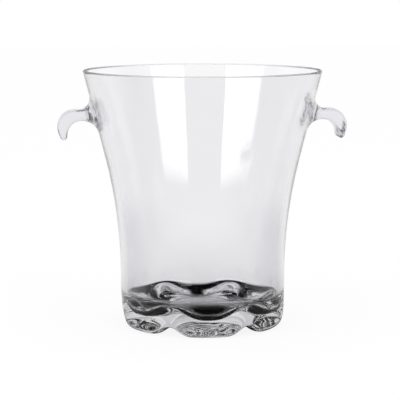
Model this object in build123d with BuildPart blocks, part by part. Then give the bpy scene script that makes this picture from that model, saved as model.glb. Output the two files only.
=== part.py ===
"""Clear ice bucket: a flared vessel bonded into a six-lobed base, with a hook handle on each side.

+Z is up, +X points along the right-hand handle, and z = 0 is the plane that the feet stand on.
All lengths are in millimetres and all angles in degrees.
"""

import os
from math import atan2, cos, degrees, hypot, radians, sin, tan

from build123d import *

# ---- vessel wall ----
height = 230.0             # feet to rim
rim_radius = 107.0         # outside, where the wall's line reaches the rim
waist_radius = 74.0        # outside, where the wall stands upright
bend_height = 98.8         # where the upright wall and the leaning wall would meet in a corner
bend_reach = 53.8          # how far the bend runs from that corner, each way
rim_wall = 2.6             # wall at the rim, which the rounded lip closes
waist_wall = 5.5           # wall where it stands upright
seam_height = 38.0         # feet to the bonded seam between wall and base
tongue_height = 3.0        # ring under the wall that drops into the base's groove
tongue_wall = 1.8

# ---- scalloped base ----
lobe_count = 6
lobe_bulge = 1.2           # how far the lobes stand out past the wall above them
lobe_height = 15.0         # height of their widest point
toe_inset = 1.0            # how far the feet's outside edge lies in from the wall
foot_width = 16.0          # feet, from their outside edge to their inside edge
recess_height = 11.0       # hollow under the middle of the base
recess_slope = 15.0        # width of the slope from the feet up into that hollow
arch_height = 8.0          # rise of the arch between two feet
arch_half_width = 16.0     # half of the arch, along the ring of feet
flute_radius = 60.0        # round groove up the outside, above each arch
flute_depth = 1.8          # its depth at the ground
flute_height = 27.0        # where it runs out
floor_height = 21.0        # inside floor above the feet
floor_corner = 10.0        # bend between the inside wall and the floor
scoop_depth = 8.0          # hollow in the inside floor above each foot
scoop_radius = 13.0        # round section of that hollow
scoop_half_length = 25.0   # half of its length along the ring
foot_round = 3.0           # rounding along the outside edge of feet and arches
heel_round = 2.0           # rounding along their inside edge
flute_round = 12.0         # rounding where a groove meets a lobe
scoop_round = 5.0          # rounding where a hollow meets the floor

# ---- hook handles ----
hook_drop = 34.7           # rim down to the top of the arm
hook_standout = 31.7       # from the wall, level with the arm, to the outside of the curl
arm_thickness = 10.0
strap_width = 26.0
curl_radius = 15.3         # outside of the curl
curl_sweep = 108.0         # how far the outside of the curl turns
tip_length = 4.3           # straight stretch below the curl
tip_radius = 3.6           # rounded end of the hook
upper_root_radius = 9.5    # sweep from the wall into the top of the arm
root_bite = 0.6            # depth to which the root's sweeps run into the wall's line
root_flare_radius = 15.0   # sweep of the root along the wall, seen from above
root_flare_sweep = 75.0    # how far that sweep turns
strap_round = 3.0          # rounding along the strap's long edges

# ---- fits ----
bond_gap = 0.1             # cement line between the bonded pieces

# ---- construction allowances ----
spare = 6.0                # how far a cutting shape runs past what it cuts
root_spread = 12.0         # how far the root opens out inside the wall before it is trimmed

# Lean of the upper wall's outside from the vertical.
lean = atan2(rim_radius - waist_radius, height - bend_height)


def wall_radius(z):
    """Radius of the outside of the straight, leaning wall at height z."""
    return rim_radius - tan(lean) * (height - z)


def off_axis(edge):
    """Distance of an edge's centre from the bucket's axis."""
    middle = edge.center()
    return hypot(middle.X, middle.Y)


def draw_flare(bottom_radius, top_radius, start_height, top_height):
    """Draw a wall's line from the waist up to top_height; give its top end."""
    face_lean = atan2(top_radius - bottom_radius, height - bend_height)
    bend_start = (bottom_radius, bend_height - bend_reach)
    Line((bottom_radius, start_height), bend_start)
    bend = JernArc(bend_start, (0, 1), bend_reach / tan(face_lean / 2), -degrees(face_lean))
    top_end = (top_radius - tan(face_lean) * (height - top_height), top_height)
    Line(bend @ 1, top_end)
    return top_end


# ---- vessel: a thin flared wall with a rounded lip, open at the bottom, on a bonding tongue ----
lip_height = height - rim_wall / 2
inside_waist = waist_radius - waist_wall
tongue_middle = waist_radius - waist_wall / 2
tongue_outside = tongue_middle + tongue_wall / 2
tongue_inside = tongue_middle - tongue_wall / 2
tongue_bottom = seam_height - tongue_height

with BuildPart() as vessel:
    with BuildSketch(Plane.XZ):
        with BuildLine():
            outside_top = draw_flare(waist_radius, rim_radius, seam_height, lip_height)
            inside_top = draw_flare(inside_waist, rim_radius - rim_wall, seam_height, lip_height)
            lip_top = ((outside_top[0] + inside_top[0]) / 2, height)
            ThreePointArc(outside_top, lip_top, inside_top)
            Polyline(
                (inside_waist, seam_height),
                (tongue_inside, seam_height),
                (tongue_inside, tongue_bottom),
                (tongue_outside, tongue_bottom),
                (tongue_outside, seam_height),
                (waist_radius, seam_height),
            )
        make_face()
    revolve(axis=Axis.Z)

vessel.part.label = "vessel"

# ---- scalloped base: the bucket's floor on a ring of feet, with a groove for the wall's tongue ----
base_top = seam_height - bond_gap
groove_bottom = tongue_bottom - bond_gap
lobe_radius = waist_radius + lobe_bulge
toe_radius = waist_radius - toe_inset
heel_radius = toe_radius - foot_width
recess_radius = heel_radius - recess_slope
foot_circle = (toe_radius + heel_radius) / 2
sector = 360 / lobe_count

# One arch with flat ground on both sides of it, long enough to meet its neighbours.
with BuildPart() as arch_cutter:
    with BuildSketch(Plane.YZ):
        with BuildLine():
            Polyline(
                (-arch_half_width, 0),
                (-foot_circle, 0),
                (-foot_circle, -spare),
                (foot_circle, -spare),
                (foot_circle, 0),
                (arch_half_width, 0),
            )
            Spline(
                (arch_half_width, 0),
                (0, arch_height),
                (-arch_half_width, 0),
                tangents=((-1, 0), (-1, 0)),
            )
        make_face()
    extrude(amount=lobe_radius + spare)

# One round groove up the outside, tilted so that it runs out at flute_height.
flute_tilt = Vector(waist_radius - lobe_radius + flute_depth, 0, flute_height)
flute_start = lobe_radius - flute_depth + flute_radius
with BuildPart() as flute_cutter:
    with BuildSketch(Plane(origin=(flute_start, 0, 0), z_dir=flute_tilt)):
        Circle(flute_radius)
    extrude(amount=seam_height + spare, both=True)

# One hollow in the inside floor: an egg-shaped scoop, round across and long round the ring.
scoop_ring = inside_waist - scoop_radius
scoop_level = floor_height - scoop_depth + scoop_radius
with BuildPart() as scoop_cutter:
    with BuildSketch(Plane.XY.offset(scoop_level)):
        with Locations((scoop_ring, 0)):
            Ellipse(scoop_radius, scoop_half_length)
        with Locations((scoop_ring - scoop_radius, 0)):
            Rectangle(2 * scoop_radius, 2 * scoop_half_length, mode=Mode.SUBTRACT)
    revolve(axis=Axis((scoop_ring, 0, scoop_level), (0, 1, 0)))

with BuildPart() as scalloped_base:
    with BuildSketch(Plane.XZ):
        with BuildLine():
            Polyline(
                (waist_radius, base_top),
                (tongue_outside + bond_gap, base_top),
                (tongue_outside + bond_gap, groove_bottom),
                (tongue_inside - bond_gap, groove_bottom),
                (tongue_inside - bond_gap, base_top),
                (inside_waist, base_top),
                (inside_waist, floor_height + floor_corner),
            )
            RadiusArc(
                (inside_waist, floor_height + floor_corner),
                (inside_waist - floor_corner, floor_height),
                floor_corner,
            )
            Polyline(
                (inside_waist - floor_corner, floor_height),
                (0, floor_height),
                (0, recess_height),
                (recess_radius, recess_height),
                (heel_radius, 0),
                (heel_radius, -spare),
                (toe_radius, -spare),
                (toe_radius, 0),
            )
            Spline(
                (toe_radius, 0),
                (lobe_radius, lobe_height),
                (waist_radius, base_top),
                tangents=((0.2, 1), (0, 1)),
            )
        make_face()
    revolve(axis=Axis.Z)
    with PolarLocations(0, lobe_count, sector / 2):
        add(scoop_cutter.part, mode=Mode.SUBTRACT)
    scoop_edges = edges().filter_by(
        lambda e: e.bounding_box().min.Z > floor_height - 0.5
        and e.bounding_box().max.Z < floor_height + floor_corner
        and off_axis(e) > scoop_ring - scoop_radius
    )
    fillet(scoop_edges, scoop_round)
    with PolarLocations(0, lobe_count):
        add(flute_cutter.part, mode=Mode.SUBTRACT)
    with PolarLocations(0, lobe_count):
        add(arch_cutter.part, mode=Mode.SUBTRACT)
    flute_edges = edges().filter_by(
        lambda e: off_axis(e) > foot_circle
        and e.bounding_box().max.Z > arch_height + foot_round
        and 0 < e.bounding_box().min.Z < base_top - 0.5
        and e.geom_type != GeomType.CIRCLE
    )
    fillet(flute_edges, flute_round)
    ground_edges = edges().filter_by(lambda e: e.bounding_box().max.Z < arch_height + foot_round)
    fillet(ground_edges.filter_by(lambda e: off_axis(e) > toe_radius - foot_round), foot_round)
    ground_edges = edges().filter_by(lambda e: e.bounding_box().max.Z < arch_height + 0.5)
    fillet(ground_edges.filter_by(lambda e: off_axis(e) < heel_radius), heel_round)

scalloped_base.part.label = "scalloped_base"

# ---- hook handles: curled straps with a root that spreads along the wall ----
hook_top = height - hook_drop
hook_reach = wall_radius(hook_top) + hook_standout
arm_bottom = hook_top - arm_thickness
curl_center_x = hook_reach - curl_radius
curl_center_z = hook_top - curl_radius
shank_lean = radians(curl_sweep - 90)
tip_offset = curl_radius - tip_radius
tip_center_x = curl_center_x + tip_offset * cos(shank_lean) - tip_length * sin(shank_lean)
tip_center_z = curl_center_z - tip_offset * sin(shank_lean) - tip_length * cos(shank_lean)
inner_curl_radius = arm_bottom - tip_center_z
neck_radius = tip_center_x - tip_radius - inner_curl_radius
neck_to_wall = (neck_radius - wall_radius(arm_bottom)) * cos(lean)
lower_root_radius = (neck_to_wall + root_bite) / (1 - sin(lean))
upper_root_height = hook_top + upper_root_radius
upper_root_x = wall_radius(upper_root_height) + (upper_root_radius - root_bite) / cos(lean)
wall_turn = 90 - degrees(lean)
trim_radius = wall_radius(tip_center_z)

# Everything inside the outer face of the wall, plus the cement line.
with BuildPart() as wall_core:
    with BuildSketch(Plane.XZ):
        with BuildLine():
            core_top = draw_flare(waist_radius + bond_gap, rim_radius + bond_gap, 0, height)
            Polyline(core_top, (0, height), (0, 0), (waist_radius + bond_gap, 0))
        make_face()
    revolve(axis=Axis.Z)

with BuildPart() as handle_right:
    with BuildSketch(Plane.XZ):
        with BuildLine():
            arm = Line((upper_root_x, hook_top), (curl_center_x, hook_top))
            curl = JernArc(arm @ 1, arm % 1, curl_radius, -curl_sweep)
            shank = Line(curl @ 1, curl @ 1 + (curl % 1) * tip_length)
            tip = JernArc(shank @ 1, shank % 1, tip_radius, curl_sweep - 270)
            inner_curl = JernArc(tip @ 1, tip % 1, inner_curl_radius, 90)
            lower_root = JernArc(inner_curl @ 1, inner_curl % 1, lower_root_radius, wall_turn)
            upper_root = JernArc(arm @ 0, (-1, 0), upper_root_radius, wall_turn - 180)
            Polyline(
                lower_root @ 1,
                (waist_radius, (lower_root @ 1).Y - root_spread),
                (waist_radius, (upper_root @ 1).Y + root_spread),
                upper_root @ 1,
            )
        make_face()
    extrude(amount=strap_width / 2 + root_flare_radius, both=True)
    with BuildSketch(Plane.XY):
        with BuildLine():
            edge = Line((hook_reach + spare, strap_width / 2), (neck_radius, strap_width / 2))
            sweep_out = JernArc(edge @ 1, edge % 1, root_flare_radius, -root_flare_sweep)
            Polyline(
                sweep_out @ 1,
                (waist_radius, (sweep_out @ 1).Y + root_spread),
                (waist_radius, 0),
                (hook_reach + spare, 0),
                edge @ 0,
            )
        make_face()
        mirror(about=Plane.XZ)
    extrude(amount=height, mode=Mode.INTERSECT)
    long_edges = edges().filter_by(
        lambda e: e.center().X > trim_radius and abs(e.center().Y) > strap_width / 2 - bond_gap
    )
    fillet(long_edges, strap_round)
    add(wall_core.part, mode=Mode.SUBTRACT)

handle_right.part.label = "handle_right"

with BuildPart() as handle_left:
    mirror(handle_right.part, about=Plane.YZ)

handle_left.part.label = "handle_left"

os.makedirs("parts", exist_ok=True)
export_step(vessel.part, "parts/vessel.step")
export_step(scalloped_base.part, "parts/scalloped_base.step")
export_step(handle_right.part, "parts/handle_right.step")
export_step(handle_left.part, "parts/handle_left.step")
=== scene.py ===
"""Looks of the clear ice bucket: a flared vessel, its six-lobed base and two hook handles.

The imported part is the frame. Each clear piece is built here as a dense smooth skin in the place
of its solid, because light bends through every facet of a clear thing. Lengths are in metres,
apart from the rows that draw the base, which are in millimetres.
"""

import logging
import math
from dataclasses import dataclass, field
from enum import Enum
from typing import Sequence

import bmesh
import bpy
import numpy as np
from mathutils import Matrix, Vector


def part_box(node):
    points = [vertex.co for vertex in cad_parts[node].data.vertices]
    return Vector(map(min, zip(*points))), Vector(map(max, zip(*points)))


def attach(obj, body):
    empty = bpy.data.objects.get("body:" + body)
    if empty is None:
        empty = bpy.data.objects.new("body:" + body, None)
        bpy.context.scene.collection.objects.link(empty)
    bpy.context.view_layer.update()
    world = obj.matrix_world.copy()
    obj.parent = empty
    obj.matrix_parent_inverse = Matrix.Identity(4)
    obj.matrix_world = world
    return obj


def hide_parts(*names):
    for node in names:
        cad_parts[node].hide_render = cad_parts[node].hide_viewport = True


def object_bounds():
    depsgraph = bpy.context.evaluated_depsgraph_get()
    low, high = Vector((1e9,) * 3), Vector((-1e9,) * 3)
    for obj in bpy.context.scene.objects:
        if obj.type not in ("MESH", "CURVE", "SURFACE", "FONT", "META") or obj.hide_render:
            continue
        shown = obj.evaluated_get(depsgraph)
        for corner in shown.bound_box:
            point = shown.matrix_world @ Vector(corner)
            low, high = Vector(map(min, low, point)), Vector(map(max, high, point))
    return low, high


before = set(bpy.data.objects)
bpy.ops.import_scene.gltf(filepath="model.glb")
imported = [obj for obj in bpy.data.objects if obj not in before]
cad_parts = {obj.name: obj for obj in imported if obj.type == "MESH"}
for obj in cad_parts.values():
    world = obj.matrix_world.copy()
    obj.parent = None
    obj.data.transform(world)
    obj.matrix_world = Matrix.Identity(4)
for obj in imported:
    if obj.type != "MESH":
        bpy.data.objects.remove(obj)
SOLID_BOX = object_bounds()

log = logging.getLogger("ice_bucket")

Colour = tuple[float, float, float]
Point = tuple[float, float, float]
Length = float | np.ndarray
Node = bpy.types.Node
Socket = bpy.types.NodeSocket
Sockets = bpy.types.bpy_prop_collection
Value = Socket | float

WHITE: Colour = (1.0, 1.0, 1.0)
NOISE_MIDDLE = 0.5
PLAIN_BLEND = 0.5  # Layer Weight's plain setting
SOME_BOUNCE = 0.5  # between no bounce and the first

# Places of the sockets of a Mix node that mixes colours.
MIX_SHARE = 0
MIX_FIRST = 6
MIX_SECOND = 7
MIX_RESULT = 2


class Body(Enum):
    """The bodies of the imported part. The bucket has no joints, so there is one."""

    ROOT = "root"


class Skin(Enum):
    """The material places of a clear piece, in the order in which its mesh holds them.

    Attributes:
        CLEAR: The piece's main finish.
        BONDED: A face that is cemented to another piece.
        SECOND: The finish of the wall's outside, of the base's underside or of a hook's root.
        LIP: The finish of the vessel's lip.
    """

    CLEAR = 0
    BONDED = 1
    SECOND = 2
    LIP = 3


# ---- node helpers ----


class NodeSheet:
    """A node tree that is filled one node at a time."""

    def __init__(self, tree: bpy.types.NodeTree) -> None:
        """Start from an empty tree.

        Args:
            tree: The tree of a material, a light, the world or a node group.
        """
        self.tree = tree
        tree.nodes.clear()

    def add(self, kind: str, **settings: object) -> Node:
        """Add a node.

        Args:
            kind: Blender's name for the node, without "ShaderNode".
            settings: Properties to set on it.

        Returns:
            The new node.
        """
        node = self.tree.nodes.new("ShaderNode" + kind)
        for name, value in settings.items():
            setattr(node, name, value)
        return node

    def link(self, source: Socket, target: Socket) -> None:
        """Join two sockets."""
        self.tree.links.new(source, target)

    def put(self, value: Value | tuple[float, ...], target: Socket) -> None:
        """Feed a socket.

        Args:
            value: Another socket, or the number or numbers to set.
            target: The socket.
        """
        if isinstance(value, Socket):
            self.link(value, target)
        else:
            target.default_value = value

    def math(self, operation: str, *values: Value) -> Socket:
        """Add a Math node.

        Args:
            operation: Blender's name for the operation.
            values: A socket or a number for each input.

        Returns:
            The node's result.
        """
        node = self.add("Math", operation=operation)
        for index, value in enumerate(values):
            self.put(value, node.inputs[index])
        return node.outputs[0]

    def smooth(
        self, value: Value, low: Value, high: Value, start: float = 0.0, end: float = 1.0
    ) -> Socket:
        """Turn a value into a share that changes smoothly.

        Args:
            value: The value.
            low: The value at which the change begins.
            high: The value at which it ends.
            start: The share before the change.
            end: The share after it.

        Returns:
            The share.
        """
        node = self.add("MapRange", interpolation_type="SMOOTHSTEP")
        names = ("Value", "From Min", "From Max", "To Min", "To Max")
        for name, amount in zip(names, (value, low, high, start, end)):
            self.put(amount, node.inputs[name])
        return node.outputs[0]

    def mix(self, share: Value, first: Socket | Colour, second: Socket | Colour) -> Socket:
        """Mix two colours.

        Args:
            share: The share of the second.
            first: The first colour.
            second: The second colour.

        Returns:
            The mixed colour.
        """
        node = self.add("Mix", data_type="RGBA")
        self.put(share, node.inputs[MIX_SHARE])
        for colour, index in ((first, MIX_FIRST), (second, MIX_SECOND)):
            full = (*colour, 1.0) if isinstance(colour, tuple) else colour
            self.put(full, node.inputs[index])
        return node.outputs[MIX_RESULT]

    def noise(self, place: Socket, scale: Value, detail: float) -> Socket:
        """Add a noise.

        Args:
            place: Where it is read.
            scale: Its waves in each metre.
            detail: Rounds of finer waves that are laid over it.

        Returns:
            Its value.
        """
        node = self.add("TexNoise", noise_dimensions="3D")
        self.link(place, node.inputs["Vector"])
        self.put(scale, node.inputs["Scale"])
        node.inputs["Detail"].default_value = detail
        return node.outputs[0]

    def object_place(self) -> Socket:
        """Give the point on the piece, in the frame of the part."""
        return self.add("TexCoord").outputs["Object"]

    def parts(self, vector: Socket) -> Sockets:
        """Split a vector.

        Args:
            vector: The vector.

        Returns:
            The sockets of its three parts.
        """
        node = self.add("SeparateXYZ")
        self.link(vector, node.inputs[0])
        return node.outputs

    def place(self, tree: bpy.types.NodeTree, **values: Value) -> Socket:
        """Place a node group that has one output.

        Args:
            tree: The group's tree.
            values: The group's inputs, by name with _ for each space.

        Returns:
            The group's output.
        """
        node = self.add("Group")
        node.node_tree = tree
        for name, value in values.items():
            self.put(value, node.inputs[name.replace("_", " ")])
        return node.outputs[0]

    def finish(self, kind: str, shader: Node) -> None:
        """Send a shader to the tree's output.

        Args:
            kind: Blender's name for the output node, without "ShaderNode".
            shader: The shader's node.
        """
        output = self.add(kind)
        self.link(shader.outputs[0], output.inputs["Surface"])


class EffectGroup:
    """A shader node group that the finishes place, built on its first use.

    Attributes:
        name: The group's name.
        inputs: Names of the values that come in.
        output: Name of the value that goes out.
    """

    name = ""
    inputs: tuple[str, ...] = ()
    output = ""

    def tree(self) -> bpy.types.NodeTree:
        """Build the group if it isn't there yet.

        Returns:
            The group's tree.
        """
        found = bpy.data.node_groups.get(self.name)
        if found:
            return found
        tree = bpy.data.node_groups.new(self.name, "ShaderNodeTree")
        for name in self.inputs:
            tree.interface.new_socket(name, in_out="INPUT", socket_type="NodeSocketFloat")
        tree.interface.new_socket(self.output, in_out="OUTPUT", socket_type="NodeSocketFloat")
        sheet = NodeSheet(tree)
        start = tree.nodes.new("NodeGroupInput")
        end = tree.nodes.new("NodeGroupOutput")
        sheet.link(self.draw(sheet, start.outputs), end.inputs[self.output])
        return tree

    def draw(self, sheet: NodeSheet, inputs: Sockets) -> Socket:
        """Fill the group.

        Args:
            sheet: The group's tree.
            inputs: The sockets of the values that come in.

        Returns:
            The socket of the value that goes out.
        """
        raise NotImplementedError


class FlowRipple(EffectGroup):
    """Slow streaks that the plastic keeps from flowing up its mould, as a height.

    Attributes:
        streak_detail: Rounds of finer streaks that are laid over the streaks.
        round_scale: Number of the rounder waves beside that of the streaks.
        round_detail: Rounds of finer waves that are laid over them.
        round_share: Height of the rounder waves beside that of the streaks.
    """

    name = "flow_ripple"
    inputs = ("Streaks Per Metre", "Stretch")
    output = "Height"
    streak_detail = 1.0
    round_scale = 0.6
    round_detail = 0.0
    round_share = 0.5

    def draw(self, sheet: NodeSheet, inputs: Sockets) -> Socket:
        """Fill the group with streaks drawn out along the height and rounder waves over them.

        Args:
            sheet: The group's tree.
            inputs: The sockets of the values that come in.

        Returns:
            The height.
        """
        place = sheet.object_place()
        x, y, z = sheet.parts(place)
        drawn = sheet.add("CombineXYZ")
        for index, part in enumerate((x, y, sheet.math("DIVIDE", z, inputs["Stretch"]))):
            sheet.link(part, drawn.inputs[index])
        streaks = sheet.noise(drawn.outputs[0], inputs["Streaks Per Metre"], self.streak_detail)
        scale = sheet.math("MULTIPLY", inputs["Streaks Per Metre"], self.round_scale)
        waves = sheet.noise(place, scale, self.round_detail)
        return sheet.math("ADD", streaks, sheet.math("MULTIPLY", waves, self.round_share))


class HandlingMarks(EffectGroup):
    """Hairline scuffs, heavier low down where the bucket is slid about, as a roughness.

    Attributes:
        line_stretches: Waves in each metre of x, y and z, for each of the two sets of lines.
        line_detail: Rounds of finer waves that are laid over them.
        line_half_width: How far from its middle value the noise still draws a line.
        share_high_up: Share of the scuffs above the foot.
    """

    name = "handling_marks"
    inputs = ("Polish", "Scuffing", "Foot Height")
    output = "Roughness"
    line_stretches = ((900.0, 60.0, 300.0), (80.0, 700.0, 500.0))
    line_detail = 2.0
    line_half_width = 0.006
    share_high_up = 0.15

    def draw(self, sheet: NodeSheet, inputs: Sockets) -> Socket:
        """Fill the group with thin lines where stretched noises cross their middle value.

        Args:
            sheet: The group's tree.
            inputs: The sockets of the values that come in.

        Returns:
            The roughness.
        """
        place = sheet.object_place()
        lines = []
        for stretch in self.line_stretches:
            drawn = sheet.add("VectorMath", operation="MULTIPLY")
            drawn.inputs[1].default_value = stretch
            sheet.link(place, drawn.inputs[0])
            noise = sheet.noise(drawn.outputs[0], 1.0, self.line_detail)
            away = sheet.math("ABSOLUTE", sheet.math("SUBTRACT", noise, NOISE_MIDDLE))
            lines.append(sheet.math("LESS_THAN", away, self.line_half_width))
        height = sheet.parts(place)[2]
        wear = sheet.smooth(height, 0.0, inputs["Foot Height"], 1.0, self.share_high_up)
        marks = sheet.math("MULTIPLY", sheet.math("MAXIMUM", *lines), wear)
        return sheet.math("ADD", inputs["Polish"], sheet.math("MULTIPLY", marks, inputs["Scuffing"]))


class PlasticDepth(EffectGroup):
    """How deep the plastic is under a point: more at a slant and more low down, as a mask.

    Attributes:
        full_slant: Slant at which the mask is full.
        thin_share: What is left of the slant's mask in the thin part of the wall.
        foot_share: The mask's least value at the wall's foot.
        foot_height: Height under which it holds.
    """

    name = "plastic_depth"
    inputs = ("Slant", "Thin Height", "Thick Height")
    output = "Depth"
    full_slant = 0.5
    thin_share = 0.55
    foot_share = 0.67
    foot_height = 0.02

    def draw(self, sheet: NodeSheet, inputs: Sockets) -> Socket:
        """Fill the group with the slant, weaker up the wall, or with the thick foot of the wall.

        Args:
            sheet: The group's tree.
            inputs: The sockets of the values that come in.

        Returns:
            The mask.
        """
        height = sheet.parts(sheet.object_place())[2]
        slant = sheet.smooth(inputs["Slant"], 0.0, self.full_slant)
        wall = sheet.smooth(height, inputs["Thick Height"], inputs["Thin Height"], 1.0, self.thin_share)
        foot = sheet.smooth(height, self.foot_height, inputs["Thick Height"], self.foot_share, 0.0)
        return sheet.math("MAXIMUM", sheet.math("MULTIPLY", slant, wall), foot)


class BondWindow(EffectGroup):
    """Zero where a hook is bonded to the outside of the wall and one elsewhere, as an alpha."""

    name = "bond_window"
    inputs = ("Middle Height", "Half Width", "Half Height", "Squareness")
    output = "Alpha"

    def draw(self, sheet: NodeSheet, inputs: Sockets) -> Socket:
        """Fill the group with a rounded oblong across the width and the height.

        Args:
            sheet: The group's tree.
            inputs: The sockets of the values that come in.

        Returns:
            The alpha.
        """
        _, y, z = sheet.parts(sheet.object_place())
        across = sheet.math("DIVIDE", sheet.math("ABSOLUTE", y), inputs["Half Width"])
        above = sheet.math("ABSOLUTE", sheet.math("SUBTRACT", z, inputs["Middle Height"]))
        up = sheet.math("DIVIDE", above, inputs["Half Height"])
        powers = [sheet.math("POWER", share, inputs["Squareness"]) for share in (across, up)]
        return sheet.math("GREATER_THAN", sheet.math("ADD", *powers), 1.0)


# ---- finishes ----


@dataclass(frozen=True)
class Window:
    """The outline of a hook's root on the wall, a rounded oblong.

    Attributes:
        middle_height: Height of its middle.
        half_width: Half of its width.
        half_height: Half of its height.
        squareness: Power of its outline; 2 is an ellipse.
    """

    middle_height: float
    half_width: float
    half_height: float
    squareness: float


@dataclass(frozen=True)
class Finish:
    """What every finish of the bucket shares: a surface that lets light through.

    Attributes:
        name: The material's name.
    """

    name: str

    def build(self) -> bpy.types.Material:
        """Make the material.

        Returns:
            The new material.
        """
        material = bpy.data.materials.new(self.name)
        material.use_nodes = True
        sheet = NodeSheet(material.node_tree)
        shader = sheet.add("BsdfPrincipled")
        shader.inputs["Transmission Weight"].default_value = 1.0
        self.shade(sheet, shader)
        sheet.finish("OutputMaterial", shader)
        return material

    def shade(self, sheet: NodeSheet, shader: Node) -> None:
        """Set the finish on the shader.

        Args:
            sheet: The material's tree.
            shader: Its shader.
        """
        raise NotImplementedError


@dataclass(frozen=True)
class ClearPlastic(Finish):
    """Water-clear moulded plastic with the faint streaks and scuffs of a real piece.

    Attributes:
        tint: Colour of the plastic, seen straight on.
        slant_tint: Its colour at a slant and low down, where more of it is in the way.
        deep_tint: Its colour for light that has run a long way inside it.
        deep_start: Length of run at which that colour begins.
        deep_end: Length of run at which it is full.
        thick_height: Height under which the wall is thickest.
        thin_height: Height above which it is thin.
        index: How strongly it bends light.
        polish: Roughness of the plain surface.
        scuffing: Roughness that a scuff adds.
        foot_height: Height above which scuffs are few.
        streaks: Flow streaks in each metre.
        stretch: How many times longer than wide the streaks are.
        streak_depth: Their height.
        window: Where a hook's root is cemented to it, if one is.
    """

    tint: Colour = (0.985, 0.982, 0.99)
    slant_tint: Colour = (0.77, 0.765, 0.79)
    deep_tint: Colour = (0.36, 0.36, 0.38)
    deep_start: float = 0.05
    deep_end: float = 0.15
    thick_height: float = 0.085
    thin_height: float = 0.12
    index: float = 1.585
    polish: float = 0.0
    scuffing: float = 0.06
    foot_height: float = 0.02
    streaks: float = 30.0
    stretch: float = 6.0
    streak_depth: float = 0.00004
    window: Window | None = None

    def colour(self, sheet: NodeSheet) -> Socket:
        """Deepen the colour where light has more plastic to cross.

        Args:
            sheet: The material's tree.

        Returns:
            The colour.
        """
        slant = sheet.add("LayerWeight")
        slant.inputs["Blend"].default_value = PLAIN_BLEND
        depth = sheet.place(
            PlasticDepth().tree(),
            Slant=slant.outputs["Facing"], Thin_Height=self.thin_height, Thick_Height=self.thick_height,
        )
        surface = sheet.mix(depth, self.tint, self.slant_tint)
        run = sheet.add("LightPath").outputs["Ray Length"]
        leaving = sheet.add("NewGeometry").outputs["Backfacing"]
        deep = sheet.math("MULTIPLY", leaving, sheet.smooth(run, self.deep_start, self.deep_end))
        return sheet.mix(deep, surface, self.deep_tint)

    def relief(self, sheet: NodeSheet) -> Socket:
        """Raise the flow streaks.

        Args:
            sheet: The material's tree.

        Returns:
            The normal.
        """
        bump = sheet.add("Bump")
        bump.inputs["Distance"].default_value = self.streak_depth
        bump.inputs["Strength"].default_value = 1.0
        ripple = sheet.place(FlowRipple().tree(), Streaks_Per_Metre=self.streaks, Stretch=self.stretch)
        sheet.link(ripple, bump.inputs["Height"])
        return bump.outputs["Normal"]

    def shade(self, sheet: NodeSheet, shader: Node) -> None:
        """Set the finish on the shader.

        Args:
            sheet: The material's tree.
            shader: Its shader.
        """
        shader.inputs["IOR"].default_value = self.index
        marks = sheet.place(
            HandlingMarks().tree(),
            Polish=self.polish, Scuffing=self.scuffing, Foot_Height=self.foot_height,
        )
        sheet.link(self.colour(sheet), shader.inputs["Base Color"])
        sheet.link(marks, shader.inputs["Roughness"])
        sheet.link(self.relief(sheet), shader.inputs["Normal"])
        if self.window:
            opening = sheet.place(
                BondWindow().tree(),
                Middle_Height=self.window.middle_height,
                Half_Width=self.window.half_width,
                Half_Height=self.window.half_height,
                Squareness=self.window.squareness,
            )
            sheet.link(opening, shader.inputs["Alpha"])


@dataclass(frozen=True)
class ClearCement(Finish):
    """A cemented face between two clear pieces, which light runs straight through."""

    def shade(self, sheet: NodeSheet, shader: Node) -> None:
        """Set the finish on the shader.

        Args:
            sheet: The material's tree.
            shader: Its shader.
        """
        sheet.put((*WHITE, 1.0), shader.inputs["Base Color"])
        shader.inputs["Roughness"].default_value = 0.0
        shader.inputs["Alpha"].default_value = 0.0


# ---- mesh helpers ----


class RingSkin:
    """A skin of rings with the same number of points, joined one to the next."""

    def __init__(self, columns: int) -> None:
        """Start an empty skin.

        Args:
            columns: Points in each ring.
        """
        self.columns = columns
        self.points: list[Point] = []
        self.faces: list[tuple[int, ...]] = []
        self.skins: list[int] = []
        self.last: int | None = None
        self.first: int | None = None

    def add(self, ring: np.ndarray, skin: Skin = Skin.CLEAR) -> None:
        """Add a ring and join it to the one before.

        Args:
            ring: Its points, one row each.
            skin: The material place of the faces that join it to the one before.
        """
        start = len(self.points)
        self.points.extend(map(tuple, ring))
        if self.last is not None:
            self.join(self.last, start, skin)
        else:
            self.first = start
        self.last = start

    def join(self, lower: int, upper: int, skin: Skin) -> None:
        """Join two rings with four-sided faces.

        Args:
            lower: The first ring's first point.
            upper: The second ring's first point.
            skin: The material place of the faces.
        """
        for column in range(self.columns):
            after = (column + 1) % self.columns
            self.faces.append((lower + column, upper + column, upper + after, lower + after))
            self.skins.append(skin.value)

    def cap(self, pole: Point, ring: int, skin: Skin = Skin.CLEAR) -> None:
        """Close a ring with a fan.

        Args:
            pole: The point at the middle of the fan.
            ring: The ring's first point.
            skin: The material place of the fan.
        """
        middle = len(self.points)
        self.points.append(pole)
        for column in range(self.columns):
            self.faces.append((ring + column, middle, ring + (column + 1) % self.columns))
            self.skins.append(skin.value)

    def build(self, name: str) -> bpy.types.Object:
        """Make the object.

        Args:
            name: The piece's name.

        Returns:
            A closed, smooth-shaded object with the edges of its cemented faces kept sharp.
        """
        mesh = bpy.data.meshes.new(name)
        mesh.from_pydata(self.points, [], self.faces)
        mesh.polygons.foreach_set("material_index", self.skins)
        work = bmesh.new()
        work.from_mesh(mesh)
        bmesh.ops.recalc_face_normals(work, faces=work.faces)
        bonded = Skin.BONDED.value
        for edge in work.edges:
            edge.smooth = len({face.material_index == bonded for face in edge.link_faces}) == 1
        for face in work.faces:
            face.smooth = True
        work.to_mesh(mesh)
        work.free()
        return show(name, mesh)


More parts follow.
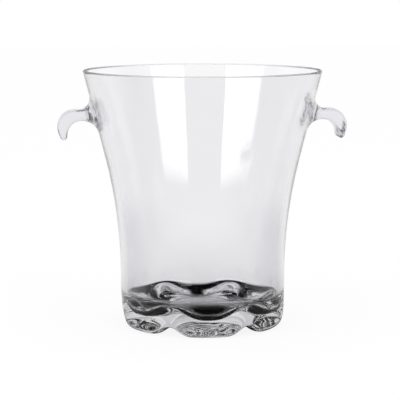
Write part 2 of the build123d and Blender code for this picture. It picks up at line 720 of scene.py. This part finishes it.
def show(name: str, data: bpy.types.ID) -> bpy.types.Object:
    """Put a mesh, a light or a camera into the scene.

    Args:
        name: The object's name.
        data: The mesh, light or camera.

    Returns:
        The new object.
    """
    made = bpy.data.objects.new(name, data)
    bpy.context.scene.collection.objects.link(made)
    return made


def turns(columns: int) -> np.ndarray:
    """Give the angle of each column round a ring."""
    return np.arange(columns) * 2 * math.pi / columns


def round_ring(radius: Length, height: Length, columns: int) -> np.ndarray:
    """Give a ring round the bucket's axis.

    Args:
        radius: Its radius, or one for each column.
        height: Its height, or one for each column.
        columns: Points in the ring.

    Returns:
        The points, one row each.
    """
    angle = turns(columns)
    return np.stack((radius * np.cos(angle), radius * np.sin(angle), height + 0 * angle), axis=1)


def clamped_spline(control: np.ndarray, count: int) -> np.ndarray:
    """Give points along a cubic spline that starts and ends at its outer control points.

    Args:
        control: The control points, one row each.
        count: Points wanted.

    Returns:
        The points, one row each.
    """
    spans = len(control) - 3
    knots = np.concatenate(([0] * 3, np.arange(spans + 1), [spans] * 3)).astype(float)
    along = np.linspace(0, spans, count)
    span = np.minimum(along.astype(int), spans - 1)
    layer = [control[span + index] for index in range(4)]
    trailing = (1,) * (control.ndim - 1)
    for level in range(1, 4):
        for index in range(3, level - 1, -1):
            low = knots[span + index]
            high = knots[span + index + 4 - level]
            share = ((along - low) / (high - low)).reshape((-1, *trailing))
            layer[index] = (1 - share) * layer[index - 1] + share * layer[index]
    return layer[3]


def dress(piece: bpy.types.Object, node: str, finishes: Sequence[Finish]) -> None:
    """Give a piece its materials and set it in the place of its solid.

    Args:
        piece: The piece.
        node: The solid that it stands for.
        finishes: The finishes for its material places, in order.
    """
    for finish in finishes:
        piece.data.materials.append(finish.build())
    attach(piece, Body.ROOT.value)
    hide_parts(node)


# ---- vessel ----


@dataclass
class Wall:
    """The flared wall: its two faces run upright, bend outward and then lean straight to the rim.

    Attributes:
        height: Height of the rim.
        seam_height: Height of the seam that joins it to the base.
        rim_radius: Outside radius at which the straight upper wall reaches the rim's height.
        waist_radius: Outside radius where the wall is upright.
        rim_wall: Its thickness at the rim.
        waist_wall: Its thickness where it is upright.
        bend_height: Height at which the upright and the leaning wall would meet in a corner.
        bend_reach: How far the bend runs from that corner, each way.
        columns: Points round the wall.
        rows: Rings up each of its faces.
        lip_rows: Rings round its lip.
    """

    height: float = SOLID_BOX[1][2]
    seam_height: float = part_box("scalloped_base")[1][2]
    rim_radius: float = 0.107
    waist_radius: float = 0.074
    rim_wall: float = 0.0026
    waist_wall: float = 0.0055
    bend_height: float = 0.0988
    bend_reach: float = 0.0538
    columns: int = 288
    rows: int = 110
    lip_rows: int = 8

    def face_radius(self, height: Length, waist: float, rim: float) -> np.ndarray:
        """Give the radius of one of the wall's faces.

        Args:
            height: The height, or an array of heights.
            waist: The face's radius where it is upright.
            rim: The radius at which its straight upper part reaches the rim's height.

        Returns:
            The radius at each height.
        """
        lean = math.atan2(rim - waist, self.height - self.bend_height)
        bend = self.bend_reach / math.tan(lean / 2)
        start = self.bend_height - self.bend_reach
        run = np.clip(height - start, 0, bend * math.sin(lean))
        curved = waist + bend - np.sqrt(bend**2 - run**2)
        above = np.maximum(height - start - bend * math.sin(lean), 0)
        return curved + above * math.tan(lean)

    def outside(self, height: Length) -> np.ndarray:
        """Give the outside radius at a height."""
        return self.face_radius(height, self.waist_radius, self.rim_radius)

    def inside(self, height: Length) -> np.ndarray:
        """Give the inside radius at a height."""
        return self.face_radius(
            height, self.waist_radius - self.waist_wall, self.rim_radius - self.rim_wall
        )

    def lean(self) -> float:
        """Give the lean of the straight upper wall's outside, in radians."""
        return math.atan2(self.rim_radius - self.waist_radius, self.height - self.bend_height)


@dataclass
class Vessel:
    """The clear vessel: the wall with its rounded lip, down to the bonded seam.

    Attributes:
        wall: Its wall.
        window: The outline of a hook's root on the wall.
        lip_tint: Colour of the lip.
        lip_index: How strongly the lip bends light, less than the wall does.
        lip_polish: Roughness of the lip, which is duller than the wall.
    """

    wall: Wall
    window: Window
    lip_tint: Colour = (0.88, 0.875, 0.9)
    lip_index: float = 1.28
    lip_polish: float = 0.8

    def build(self) -> bpy.types.Object:
        """Make the vessel and set it in place.

        Returns:
            The vessel.
        """
        wall = self.wall
        skin = RingSkin(wall.columns)
        lip_height = wall.height - wall.rim_wall / 2
        heights = np.linspace(wall.seam_height, lip_height, wall.rows)
        for height in heights:
            skin.add(round_ring(wall.outside(height), height, wall.columns), Skin.SECOND)
        middle = (wall.outside(lip_height) + wall.inside(lip_height)) / 2
        half = (wall.outside(lip_height) - wall.inside(lip_height)) / 2
        for turn in np.linspace(0, math.pi, wall.lip_rows + 2)[1:-1]:
            rise = (wall.height - lip_height) * math.sin(turn)
            ring = round_ring(middle + half * math.cos(turn), lip_height + rise, wall.columns)
            skin.add(ring, Skin.LIP)
        for height in heights[::-1]:
            place = Skin.LIP if height == lip_height else Skin.CLEAR
            skin.add(round_ring(wall.inside(height), height, wall.columns), place)
        skin.join(skin.last, skin.first, Skin.BONDED)
        vessel = skin.build("clear_vessel")
        inside = ClearPlastic("clear_wall")
        seam = ClearCement("seam_cement")
        outside = ClearPlastic("clear_wall_outside", window=self.window)
        lip = ClearPlastic(
            "clear_lip", tint=self.lip_tint, slant_tint=self.lip_tint,
            index=self.lip_index, polish=self.lip_polish,
        )
        dress(vessel, "vessel", [inside, seam, outside, lip])
        return vessel


# ---- base ----


@dataclass(frozen=True)
class LobedRow:
    """One row of the base's shape: its radius and height over a notch and over a lobe."""

    notch: tuple[float, float]
    lobe: tuple[float, float]


def lobed_rows(*rows: tuple[float, float, float, float]) -> tuple[LobedRow, ...]:
    """Make rows from millimetres: notch radius, notch height, lobe radius, lobe height."""
    return tuple(LobedRow((a / 1000, b / 1000), (c / 1000, d / 1000)) for a, b, c, d in rows)


@dataclass
class ScallopedBase:
    """The base: six lobes that stand on the ground with arches between them, hollow inside.

    Attributes:
        wall: The wall that it carries.
        lobes: How many lobes it has.
        arch_narrowness: How much narrower the arches are than the lobes; 1 is a plain wave.
        hollow_roundness: The same for the inner floor.
        underside_radius: Radius inside which the underside has its own finish.
        columns: Points round it.
        rows: Rings in each of its faces.
        outer: Rows that draw its outside, from the seam to the middle.
        inner: Rows that draw its inside, from the seam to the middle.
    """

    wall: Wall
    lobes: int = 6
    arch_narrowness: float = 4.5
    hollow_roundness: float = 1.5
    underside_radius: float = 0.06
    columns: int = 360
    rows: int = 110
    outer: tuple[LobedRow, ...] = field(default_factory=lambda: lobed_rows(
        (74.0, 37.9, 74.0, 37.9),
        (74.0, 34.0, 74.0, 34.0),
        (73.6, 26.0, 74.0, 26.0),
        (72.6, 19.0, 74.2, 17.5),
        (71.4, 13.0, 73.6, 9.5),
        (70.0, 9.0, 71.6, 3.0),
        (67.5, 8.0, 68.2, 0.3),
        (63.0, 8.0, 64.0, 0.0),
        (59.0, 8.0, 60.0, 0.0),
        (53.0, 9.0, 54.0, 3.0),
        (44.0, 10.0, 44.0, 9.0),
        (30.0, 11.0, 30.0, 11.0),
        (15.0, 11.5, 15.0, 11.5),
        (0.5, 11.5, 0.5, 11.5),
    ))
    inner: tuple[LobedRow, ...] = field(default_factory=lambda: lobed_rows(
        (68.5, 37.9, 68.5, 37.9),
        (68.5, 34.0, 68.5, 34.0),
        (68.5, 31.5, 68.5, 31.5),
        (68.2, 29.5, 68.1, 28.7),
        (67.4, 27.5, 67.3, 25.0),
        (65.0, 26.0, 65.3, 19.5),
        (60.0, 24.0, 60.5, 14.5),
        (52.0, 20.5, 51.0, 14.5),
        (38.0, 18.0, 38.0, 17.0),
        (20.0, 18.0, 20.0, 18.0),
        (0.5, 18.0, 0.5, 18.0),
    ))

    def surface(self, rows: tuple[LobedRow, ...], narrowness: float) -> np.ndarray:
        """Give one face of the base, from the seam to the middle.

        Args:
            rows: The rows that draw it.
            narrowness: How much narrower the notches are than the lobes; 1 is a plain wave.

        Returns:
            Radius and height for each row and column.
        """
        notch = (1 - np.cos(self.lobes * (turns(self.columns) + math.pi / 2))) / 2
        lobe = 1 - notch**narrowness
        control = np.empty((len(rows), self.columns, 2))
        for index, row in enumerate(rows):
            for axis in range(2):
                control[index, :, axis] = row.notch[axis] + (row.lobe[axis] - row.notch[axis]) * lobe
        return clamped_spline(control, self.rows)

    def build(self) -> bpy.types.Object:
        """Make the base and set it in place.

        Returns:
            The base.
        """
        skin = RingSkin(self.columns)
        outer = self.surface(self.outer, self.arch_narrowness)
        inner = self.surface(self.inner, self.hollow_roundness)
        for row in outer[::-1]:
            place = Skin.SECOND if row[:, 0].max() < self.underside_radius else Skin.CLEAR
            skin.add(round_ring(row[:, 0], row[:, 1], self.columns), place)
        for index, row in enumerate(inner):
            place = Skin.BONDED if index == 0 else Skin.CLEAR
            skin.add(round_ring(row[:, 0], row[:, 1], self.columns), place)
        skin.cap((0.0, 0.0, float(outer[-1, 0, 1])), skin.first, Skin.SECOND)
        skin.cap((0.0, 0.0, float(inner[-1, 0, 1])), skin.last)
        base = skin.build("clear_base")
        plastic = ClearPlastic("clear_base", streaks=20.0, stretch=1.0)
        underside = ClearPlastic("clear_underside", streaks=60.0, stretch=1.0, streak_depth=0.0003)
        dress(base, "scalloped_base", [plastic, ClearCement("base_cement"), underside])
        return base


# ---- hook handles ----


@dataclass
class Hook:
    """A hook handle: a strap that curls over and down, with a root that spreads along the wall.

    Attributes:
        wall: The wall that it is bonded to.
        hook_top: Height of the arm's top.
        arm_thickness: Height of the arm at the neck.
        strap_width: Width of the arm, the curl and the tip.
        reach: Distance from the axis to the outside of the curl.
        curl_radius: Outside radius of the curl.
        curl_sweep: How far the outside of the curl turns, in radians.
        tip_length: Straight stretch below the curl.
        tip_radius: Radius of the rounded tip.
        upper_root_radius: Sweep from the wall into the top of the arm.
        root_half_width: Half of the root's width on the wall.
        root_squareness: Power of the root's rounded outline; 2 is an ellipse.
        strap_squareness: The same for the strap.
        root_finish_end: Share of the way to the neck at which the root's finish ends.
        columns: Points round it.
        bond_rings: Rings across the cemented face.
        bond_start: Size of the smallest of them, as a share.
        root_rings: Rings along the root.
        strap_rings: Rings along the strap.
        tip_rings: Rings round the tip.
        tip_end: Share of the tip that they cover, up to the cap.
    """

    wall: Wall
    hook_top: float = 0.1953
    arm_thickness: float = 0.010
    strap_width: float = 0.026
    reach: float = 0.1299
    curl_radius: float = 0.0153
    curl_sweep: float = math.radians(108.0)
    tip_length: float = 0.0043
    tip_radius: float = 0.0036
    upper_root_radius: float = 0.0095
    root_half_width: float = 0.027
    root_squareness: float = 2.5
    strap_squareness: float = 3.6
    root_finish_end: float = 0.45
    columns: int = 96
    bond_rings: int = 10
    bond_start: float = 0.1
    root_rings: int = 32
    strap_rings: int = 40
    tip_rings: int = 11
    tip_end: float = 0.97

    def __post_init__(self) -> None:
        """Work out the side view's circles from the driving sizes."""
        lean = self.wall.lean()
        self.wall_turn = math.pi - lean
        arm_bottom = self.hook_top - self.arm_thickness
        past = self.curl_sweep - math.pi / 2
        self.curl_middle = np.array((self.reach - self.curl_radius, self.hook_top - self.curl_radius))
        inset = self.curl_radius - self.tip_radius
        self.tip_middle = self.curl_middle + np.array((
            inset * math.cos(past) - self.tip_length * math.sin(past),
            -inset * math.sin(past) - self.tip_length * math.cos(past),
        ))
        self.inner_curl_radius = arm_bottom - self.tip_middle[1]
        self.neck = self.tip_middle[0] - self.tip_radius - self.inner_curl_radius
        gap = (self.neck - float(self.wall.outside(arm_bottom))) * math.cos(lean)
        self.lower_root_radius = gap / (1 - math.sin(lean))
        self.lower_middle = np.array((self.neck, arm_bottom - self.lower_root_radius))
        upper_height = self.hook_top + self.upper_root_radius
        upper_x = float(self.wall.outside(upper_height)) + self.upper_root_radius / math.cos(lean)
        self.upper_middle = np.array((upper_x, upper_height))

    def window(self) -> Window:
        """Give the outline of the root on the wall.

        Returns:
            The outline.
        """
        top, bottom = self.root_line(0.0)
        middle = (top[1] + bottom[1]) / 2
        return Window(middle, self.root_half_width, (top[1] - bottom[1]) / 2, self.root_squareness)

    @staticmethod
    def on_circle(middle: np.ndarray, radius: float, angle: float) -> np.ndarray:
        """Give a point on a circle in the side view."""
        return middle + radius * np.array((math.cos(angle), math.sin(angle)))

    def root_line(self, share: float) -> tuple[np.ndarray, np.ndarray]:
        """Follow the root in the side view.

        Args:
            share: How far along, from the wall (0) to the neck (1).

        Returns:
            Its top and its bottom there.
        """
        upper = self.wall_turn + share * (1.5 * math.pi - self.wall_turn)
        lower = self.wall_turn + share * (0.5 * math.pi - self.wall_turn)
        return (
            self.on_circle(self.upper_middle, self.upper_root_radius, upper),
            self.on_circle(self.lower_middle, self.lower_root_radius, lower),
        )

    def strap_line(self, share: float) -> tuple[np.ndarray, np.ndarray]:
        """Follow the strap in the side view.

        Args:
            share: How far along, from the neck (0) to the tip (1).

        Returns:
            Its outside and its inside there.
        """
        flat = self.curl_middle[0] - self.upper_middle[0]
        bend = self.curl_radius * self.curl_sweep
        along = share * (flat + bend + self.tip_length)
        if along < flat:
            outside = np.array((self.upper_middle[0] + along, self.hook_top))
        elif along < flat + bend:
            turned = math.pi / 2 - (along - flat) / self.curl_radius
            outside = self.on_circle(self.curl_middle, self.curl_radius, turned)
        else:
            end = math.pi / 2 - self.curl_sweep
            corner = self.on_circle(self.curl_middle, self.curl_radius, end)
            heading = np.array((math.sin(end), -math.cos(end)))
            outside = corner + (along - flat - bend) * heading
        middle = np.array((self.neck, self.tip_middle[1]))
        inside = self.on_circle(middle, self.inner_curl_radius, (1 - share) * math.pi / 2)
        return outside, inside

    def tip_line(self, share: float) -> tuple[np.ndarray, np.ndarray]:
        """Follow the rounded tip in the side view.

        Args:
            share: How far along, from its start (0) to its end (1).

        Returns:
            Its outside and its inside there.
        """
        start = math.pi / 2 - self.curl_sweep
        last = (start - math.pi) / 2
        return (
            self.on_circle(self.tip_middle, self.tip_radius, start + share * (last - start)),
            self.on_circle(self.tip_middle, self.tip_radius, -math.pi + share * (last + math.pi)),
        )

    def section(
        self, ends: tuple[np.ndarray, np.ndarray], half_width: float, squareness: float, hug: float
    ) -> np.ndarray:
        """Give one ring of the hook.

        Args:
            ends: Its top and bottom in the side view.
            half_width: Half of its width.
            squareness: Power of its rounded outline; 2 is an ellipse.
            hug: How closely it follows the wall's roundness, from 0 to 1.

        Returns:
            The points, one row each.
        """
        angle = turns(self.columns)
        across = np.sign(np.cos(angle)) * np.abs(np.cos(angle)) ** (2 / squareness)
        above = np.sign(np.sin(angle)) * np.abs(np.sin(angle)) ** (2 / squareness)
        top, bottom = ends
        side = (top + bottom) / 2 + np.outer(above, (top - bottom) / 2)
        y = half_width * across
        radius = self.wall.outside(side[:, 1])
        x = side[:, 0] + hug * (np.sqrt(radius**2 - y**2) - radius)
        return np.stack((x, y, side[:, 1]), axis=1)

    def skin(self, side: int) -> RingSkin:
        """Lay the hook's rings from the cemented face out to the tip.

        Args:
            side: 1 for the right-hand hook and -1 for the left-hand one.

        Returns:
            The closed skin.
        """
        mirror = np.array((side, 1, 1))
        skin = RingSkin(self.columns)
        ends = self.root_line(0.0)
        middle = (ends[0] + ends[1]) / 2
        for scale in np.linspace(self.bond_start, 1.0, self.bond_rings):
            ring = self.section(
                (middle + scale * (ends[0] - middle), middle + scale * (ends[1] - middle)),
                scale * self.root_half_width, self.root_squareness, 1.0,
            )
            skin.add(ring * mirror, Skin.BONDED)
        half_strap = self.strap_width / 2
        for share in np.linspace(0, 1, self.root_rings + 1)[1:]:
            spread = (self.root_half_width - half_strap) * (1 - math.sin(share * math.pi / 2))
            squareness = self.root_squareness + (self.strap_squareness - self.root_squareness) * share**2
            hug = math.cos(share * math.pi / 2) ** 2
            ring = self.section(self.root_line(share), half_strap + spread, squareness, hug)
            skin.add(ring * mirror, Skin.SECOND if share < self.root_finish_end else Skin.CLEAR)
        for share in np.linspace(0, 1, self.strap_rings + 1)[1:]:
            ring = self.section(self.strap_line(share), half_strap, self.strap_squareness, 0.0)
            skin.add(ring * mirror)
        for share in np.linspace(0, self.tip_end, self.tip_rings + 1)[1:]:
            shrink = self.tip_radius * (1 - math.sqrt(1 - share**2))
            ring = self.section(self.tip_line(share), half_strap - shrink, self.strap_squareness, 0.0)
            skin.add(ring * mirror)
        skin.cap((side * middle[0], 0.0, middle[1]), skin.first, Skin.BONDED)
        end = sum(self.tip_line(1.0)) / 2
        skin.cap((side * end[0], 0.0, end[1]), skin.last)
        return skin

    def build(self, name: str, node: str, side: int) -> bpy.types.Object:
        """Make the hook and set it in place.

        Args:
            name: The piece's name.
            node: The solid that it stands for.
            side: 1 for the right-hand hook and -1 for the left-hand one.

        Returns:
            The hook.
        """
        hook = self.skin(side).build(name)
        strap = ClearPlastic(
            "clear_" + node,
            tint=(0.78, 0.775, 0.81), slant_tint=(0.58, 0.575, 0.61), index=1.27, polish=0.2,
            streaks=150.0, stretch=1.0, streak_depth=0.0009, thick_height=0.165, thin_height=0.195,
        )
        root = ClearPlastic(node + "_root", polish=0.25, streaks=250.0, stretch=1.0, streak_depth=0.0003)
        dress(hook, node, [strap, ClearCement("root_cement"), root])
        return hook


# ---- studio ----


@dataclass(frozen=True)
class RoomLight:
    """How bright the room is in clear plastic: bright behind the bucket and dark ahead of it.

    Attributes:
        front: Brightness of what the plastic mirrors from in front of the bucket.
        back: Brightness of what it mirrors from behind.
        backdrop: Brightness of what shows through it.
    """

    front: float = 0.01
    back: float = 0.85
    backdrop: float = 1.06

    @staticmethod
    def mirrored(sheet: NodeSheet, path: Node) -> Socket:
        """Tell with a 1 that the plastic has mirrored the light on its way."""
        return sheet.math("GREATER_THAN", path.outputs["Glossy Depth"], SOME_BOUNCE)

    def brightness(self, sheet: NodeSheet, path: Node, depth: Socket, reach: float) -> Socket:
        """Dim what the plastic mirrors from the front of the room; what shows through it stays.

        Args:
            sheet: The tree.
            path: Its Light Path node.
            depth: How far back a thing lies, negative in front.
            reach: The depth at which the room is fully bright.

        Returns:
            The brightness, from 0 to 1.
        """
        change = sheet.smooth(depth, -reach, reach, self.front - 1, self.back - 1)
        return sheet.math("MULTIPLY_ADD", self.mirrored(sheet, path), change, 1.0)


@dataclass(frozen=True)
class PaintedArchLight:
    """Pools of painted light on the floor under the bucket, where light through the arches of its base
    would fall.

    Attributes:
        beams: How many patches of it lie round the base, one for each turn of a wave.
        phase: How far the wave has turned on the right-hand side, in radians.
        wave_start: Value of the wave at which a patch begins, from -1 to 1.
        wave_fade: How much higher the wave is where the patch is full.
        flecks: Flecks in each metre.
        fleck_detail: Rounds of finer flecks that are laid over them.
        fleck_low: Noise at which a fleck begins.
        fleck_high: Noise at which it is full.
        dimmest: Brightness between the flecks.
        start: Radius at which the light begins.
        start_fade: Width of that edge.
        end: Radius at which it begins to end.
        end_fade: Width of that edge.
    """

    beams: float = 12.0
    phase: float = math.pi + 0.3
    wave_start: float = -0.9
    wave_fade: float = 1.2
    flecks: float = 200.0
    fleck_detail: float = 2.0
    fleck_low: float = 0.4
    fleck_high: float = 0.5
    dimmest: float = 0.4
    start: float = 0.064
    start_fade: float = 0.02
    end: float = 0.090
    end_fade: float = 0.01

    def brightness(self, sheet: NodeSheet, place: Socket, radius: Socket) -> Socket:
        """Give the painted light on the floor.

        Args:
            sheet: The floor's tree.
            place: The point on the floor.
            radius: Its distance from the axis.

        Returns:
            The brightness, from 0 to 1.
        """
        # Painted light: flecked patches in a ring under the base
        x, y, _ = sheet.parts(place)
        turn = sheet.math("ARCTAN2", y, x)
        wave = sheet.math("COSINE", sheet.math("MULTIPLY_ADD", turn, self.beams, self.phase))
        noise = sheet.noise(place, self.flecks, self.fleck_detail)
        share = sheet.smooth(noise, self.fleck_low, self.fleck_high, self.dimmest, 1.0)
        for value, low, high in (
            (wave, self.wave_start, self.wave_start + self.wave_fade),
            (radius, self.start, self.start + self.start_fade),
            (radius, self.end + self.end_fade, self.end),
        ):
            share = sheet.math("MULTIPLY", share, sheet.smooth(value, low, high))
        return share


@dataclass(frozen=True)
class Floor:
    """The pale floor, which keeps the bucket's faint shadow.

    Clear plastic sees it bright far off and, close under the bucket, a painted shadow: a dark patch with
    painted light in it where light through the arches would fall.

    Attributes:
        room: Brightness of the room.
        arches: Painted light under the bucket, where light through the arches would fall.
        size: Its side.
        pale: Its colour.
        dark: Its colour as clear plastic sees it, which gives the painted shadow close under the bucket.
        glow: How much of its look to the eye is its own plain white.
        roughness: Its roughness.
        shadow_radius: Radius at which the painted shadow begins to end.
        shadow_fade: Width of the patch's edge.
        shadow_shrink: How much smaller the painted shadow is where the plastic mirrors it.
        reach: Distance behind the bucket at which the floor is fully bright in its mirror.
    """

    room: RoomLight
    arches: PaintedArchLight = PaintedArchLight()
    size: float = 12.0
    pale: Colour = (0.9, 0.9, 0.9)
    dark: Colour = (0.002, 0.002, 0.002)
    glow: float = 0.9
    roughness: float = 0.8
    shadow_radius: float = 0.12
    shadow_fade: float = 0.02
    shadow_shrink: float = 0.05
    reach: float = 0.3

    def seen_in_plastic(self, sheet: NodeSheet, path: Node) -> Socket:
        """Give the floor's brightness as clear plastic shows it, with its painted shadow and painted
        arch light, and nothing to the bare eye.

        Args:
            sheet: The floor's tree.
            path: Its Light Path node.

        Returns:
            The brightness, from 0 to 1.
        """
        place = sheet.add("NewGeometry").outputs["Position"]
        away = sheet.add("VectorMath", operation="LENGTH")
        sheet.link(place, away.inputs[0])
        radius = away.outputs["Value"]
        mirrored = self.room.mirrored(sheet, path)
        # Painted shadow: a dark patch round the axis, smaller where mirrored, and the floor dimmed in
        # mirrors in front
        patch = sheet.math("MULTIPLY_ADD", mirrored, self.shadow_shrink, radius)
        outside = sheet.smooth(patch, self.shadow_radius, self.shadow_radius + self.shadow_fade)
        painted_brightness = sheet.math("MAXIMUM", outside, self.arches.brightness(sheet, place, radius))
        in_plastic = sheet.math(
            "MAXIMUM", path.outputs["Is Glossy Ray"], path.outputs["Is Transmission Ray"]
        )
        room = self.room.brightness(sheet, path, sheet.parts(place)[1], self.reach)
        return sheet.math("MULTIPLY", sheet.math("MULTIPLY", in_plastic, room), painted_brightness)

    def material(self) -> bpy.types.Material:
        """Make the floor's material.

        Returns:
            The new material.
        """
        material = bpy.data.materials.new("pale_floor")
        material.use_nodes = True
        sheet = NodeSheet(material.node_tree)
        path = sheet.add("LightPath")
        camera_ray = path.outputs["Is Camera Ray"]
        matt = sheet.add("BsdfPrincipled")
        matt.inputs["Roughness"].default_value = self.roughness
        matt.inputs["Specular IOR Level"].default_value = 0.0
        # To clear plastic the floor's own colour is dark, part of the painted shadow
        sheet.link(sheet.mix(camera_ray, self.dark, self.pale), matt.inputs["Base Color"])
        backdrop = self.room.backdrop
        white = sheet.add("Emission")
        strength = sheet.math("MULTIPLY_ADD", camera_ray, 1 - backdrop, backdrop)
        sheet.link(strength, white.inputs["Strength"])
        to_the_eye = sheet.math("MULTIPLY", camera_ray, self.glow)
        mix = sheet.add("MixShader")
        sheet.link(sheet.math("ADD", to_the_eye, self.seen_in_plastic(sheet, path)), mix.inputs[0])
        sheet.link(matt.outputs[0], mix.inputs[1])
        sheet.link(white.outputs[0], mix.inputs[2])
        sheet.finish("OutputMaterial", mix)
        return material

    def build(self) -> bpy.types.Object:
        """Lay the floor.

        Returns:
            The floor.
        """
        half = self.size / 2
        mesh = bpy.data.meshes.new("floor")
        corners = [(-half, -half, 0), (half, -half, 0), (half, half, 0), (-half, half, 0)]
        mesh.from_pydata(corners, [], [(0, 1, 2, 3)])
        mesh.materials.append(self.material())
        floor = show("floor", mesh)
        return floor


@dataclass(frozen=True)
class Surroundings:
    """The room: plain white to the eye, and a white band at eye height in clear plastic.

    Attributes:
        room: Brightness of the room.
        band: Heights from -1, straight down, to 1, straight up, each with its brightness.
        reach: How far back a direction points where the room is fully bright in a mirror.
    """

    room: RoomLight
    band: tuple[tuple[float, float], ...] = (
        (-1.0, 0.0), (-0.4, 0.0), (-0.3, 1.0), (0.3, 1.0), (0.5, 0.0), (1.0, 0.0)
    )
    reach: float = 0.4

    def band_light(self, sheet: NodeSheet, height: Socket) -> Socket:
        """Give the brightness of the white band.

        Args:
            sheet: The world's tree.
            height: The direction's height, from -1 to 1.

        Returns:
            The brightness.
        """
        ramp = sheet.add("ValToRGB")
        elements = ramp.color_ramp.elements
        while len(elements) > 1:
            elements.remove(elements[0])
        for index, (stop, value) in enumerate(self.band):
            position = (stop + 1) / 2
            element = elements[0] if index == 0 else elements.new(position)
            element.position = position
            element.color = (value, value, value, 1.0)
        sheet.link(sheet.math("MULTIPLY_ADD", height, 0.5, 0.5), ramp.inputs[0])
        return ramp.outputs[0]

    def build(self) -> None:
        """Make the world."""
        world = bpy.data.worlds.new("studio")
        bpy.context.scene.world = world
        world.use_nodes = True
        sheet = NodeSheet(world.node_tree)
        path = sheet.add("LightPath")
        _, back, height = sheet.parts(sheet.add("TexCoord").outputs["Generated"])
        room = self.room.brightness(sheet, path, back, self.reach)
        dimmed = sheet.math("MULTIPLY", room, self.room.backdrop)
        in_plastic = sheet.math("MULTIPLY", self.band_light(sheet, height), dimmed)
        plain = sheet.math("MAXIMUM", path.outputs["Is Camera Ray"], path.outputs["Is Diffuse Ray"])
        background = sheet.add("Background")
        background.inputs["Strength"].default_value = 1.0
        sheet.link(sheet.mix(plain, in_plastic, WHITE), background.inputs["Color"])
        sheet.finish("OutputWorld", background)


@dataclass(frozen=True)
class SoftLight:
    """A soft light in front of the bucket, facing it, that fades towards its edges.

    Attributes:
        name: Its name.
        turn: Its direction from straight ahead, in degrees to the right.
        width: Its width.
        low: Height of its lower edge.
        power: Its power in watts.
        high: Height of its upper edge.
        distance: Its distance from the axis.
        side_fade: Share of its width over which each side fades.
        end_fade: Share of its height over which its top and its bottom fade.
    """

    name: str
    turn: float
    width: float
    low: float
    power: float
    high: float = 1.40
    distance: float = 1.6
    side_fade: float = 0.05
    end_fade: float = 0.15

    def soften(self, light: bpy.types.Light) -> None:
        """Fade the light towards its edges.

        Args:
            light: The light.
        """
        light.use_nodes = True
        sheet = NodeSheet(light.node_tree)
        across, along, _ = sheet.parts(sheet.add("NewGeometry").outputs["Parametric"])
        edges = []
        for share, fade in ((across, self.side_fade), (along, self.end_fade)):
            nearest = sheet.math("MINIMUM", share, sheet.math("SUBTRACT", 1.0, share))
            edges.append(sheet.smooth(nearest, 0.0, fade))
        glow = sheet.add("Emission")
        sheet.link(sheet.math("MULTIPLY", *edges), glow.inputs["Strength"])
        sheet.finish("OutputLight", glow)

    def hang(self, camera_turn: float) -> None:
        """Hang the light.

        Args:
            camera_turn: How far the camera is turned from straight ahead, in radians.
        """
        light = bpy.data.lights.new(self.name, "AREA")
        light.shape = "RECTANGLE"
        light.size = self.width
        light.size_y = self.high - self.low
        light.energy = self.power
        self.soften(light)
        lamp = show(self.name, light)
        angle = math.radians(self.turn) - camera_turn
        lamp.location = (
            self.distance * math.sin(angle),
            -self.distance * math.cos(angle),
            (self.low + self.high) / 2,
        )
        aim = Vector((0.0, 0.0, lamp.location.z)) - lamp.location
        lamp.rotation_euler = aim.to_track_quat("-Z", "Y").to_euler()
        lamp.visible_camera = False


@dataclass(frozen=True)
class Viewpoint:
    """The camera, which stands in front of the bucket and a little above its rim.

    Attributes:
        distance: Its distance from the axis.
        height: Its height.
        turn: How far to the left of straight ahead it stands, in radians.
        dip: How far down it looks, in radians.
        lens: Its lens in millimetres.
        sensor: The width of its sensor in millimetres.
        shift: Its shift to the side.
    """

    distance: float = 1.5
    height: float = 0.3127
    turn: float = math.radians(5.2)
    dip: float = math.radians(7.6)
    lens: float = 150.98
    sensor: float = 36.0
    shift: float = -0.0064

    def build(self) -> bpy.types.Object:
        """Stand the camera in its place.

        Returns:
            The camera.
        """
        data = bpy.data.cameras.new("camera")
        data.lens = self.lens
        data.sensor_width = self.sensor
        data.shift_x = self.shift
        camera = show("camera", data)
        camera.location = (
            -self.distance * math.sin(self.turn), -self.distance * math.cos(self.turn), self.height
        )
        camera.rotation_euler = (math.pi / 2 - self.dip, 0.0, -self.turn)
        bpy.context.scene.camera = camera
        return camera


@dataclass(frozen=True)
class Studio:
    """The floor, the surroundings, two soft lights and the camera.

    Attributes:
        room: Brightness of the room.
        view: The camera.
        lights: The soft lights.
        clear_bounces: Times that light may pass through a clear face or an open one.
        mirror_bounces: Times that it may be mirrored.
    """

    room: RoomLight = RoomLight()
    view: Viewpoint = Viewpoint()
    lights: tuple[SoftLight, ...] = (
        SoftLight("soft_light_right", turn=39.5, width=1.12, low=0.41, power=9.3),
        SoftLight("soft_light_left", turn=-48.0, width=1.32, low=0.38, power=11.6),
    )
    clear_bounces: int = 32
    mirror_bounces: int = 16

    def build(self) -> None:
        """Set up the whole studio."""
        Floor(self.room).build()
        Surroundings(self.room).build()
        for light in self.lights:
            light.hang(self.view.turn)
        self.view.build()
        scene = bpy.context.scene
        scene.view_settings.view_transform = "Standard"
        scene.cycles.max_bounces = self.clear_bounces
        scene.cycles.transmission_bounces = self.clear_bounces
        scene.cycles.glossy_bounces = self.mirror_bounces
        scene.cycles.transparent_max_bounces = self.clear_bounces
        scene.cycles.caustics_refractive = False
        scene.cycles.caustics_reflective = False


def main() -> None:
    """Build the bucket piece by piece, then the studio round it."""
    logging.basicConfig(level=logging.INFO, format="%(name)s: %(message)s")
    wall = Wall()
    hook = Hook(wall)
    log.info("vessel: %s", Vessel(wall, hook.window()).build().name)
    log.info("base: %s", ScallopedBase(wall).build().name)
    log.info("right hook: %s", hook.build("clear_hook_right", "handle_right", 1).name)
    log.info("left hook: %s", hook.build("clear_hook_left", "handle_left", -1).name)
    Studio().build()


if __name__ == "__main__":
    main()
